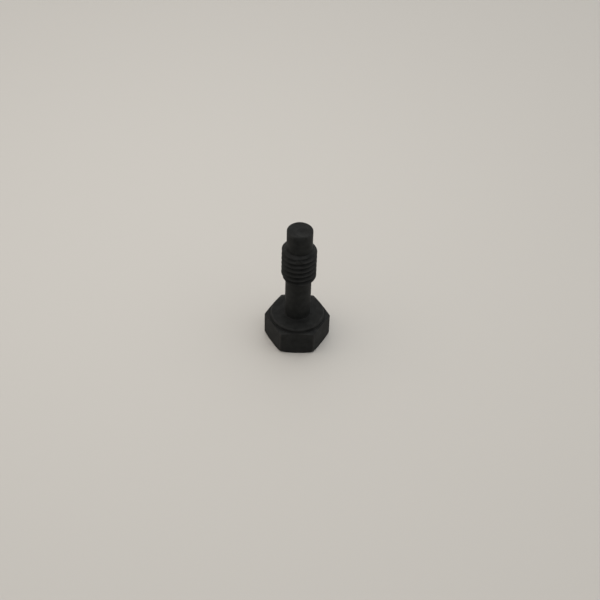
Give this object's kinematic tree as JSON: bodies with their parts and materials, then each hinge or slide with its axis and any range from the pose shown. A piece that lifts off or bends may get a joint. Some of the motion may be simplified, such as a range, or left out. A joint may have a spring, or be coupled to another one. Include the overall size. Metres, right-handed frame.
{
  "type": "captive screw",
  "caption": "Hex head captive screw with a raised washer face, a thin plain shank, a short helical thread and a plain dog point.",
  "frame": {"origin": "centre of the head's flat end face, which the screw stands on", "axes": "+Z along the screw's axis, from the head to the dog point; +X towards a corner of the hexagon"},
  "size_m": [0.0116, 0.01, 0.0242],
  "materials": {
    "blackened_steel": "black oxide on turned steel, satin"
  },
  "bodies": {
    "root": {"captive_screw": "blackened_steel"}
  },
  "joints": []
}
